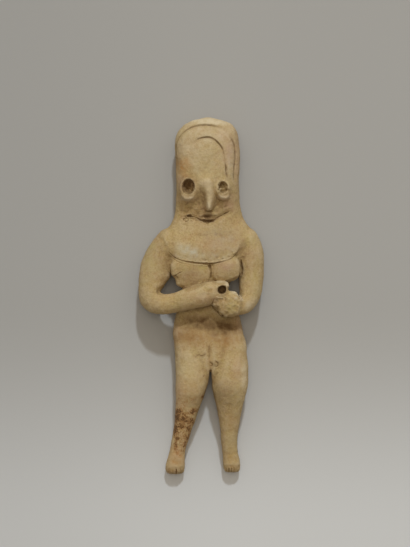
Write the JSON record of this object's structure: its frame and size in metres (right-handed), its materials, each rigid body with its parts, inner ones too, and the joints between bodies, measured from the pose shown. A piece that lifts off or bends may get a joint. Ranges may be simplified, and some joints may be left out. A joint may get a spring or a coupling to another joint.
{
  "type": "terracotta figurine",
  "caption": "Hand-modelled fired-clay idol of a woman with tall rounded hair, pierced pellet eyes, a broad collar and hands clasped under the chest, lying on its back.",
  "frame": {"origin": "on the floor that the figure lies on, under the middle of its bounding box", "axes": "+Y from the feet to the top of the hair, +Z out of the chest, away from the floor, and +X to the right for someone who looks at its face with the hair up"},
  "size_m": [0.0458, 0.13, 0.0186],
  "materials": {
    "terracotta": "unglazed, matt, buff to pinkish, worn, with brown encrustation on one shin"
  },
  "bodies": {
    "root": {"idol": "terracotta"}
  },
  "joints": []
}
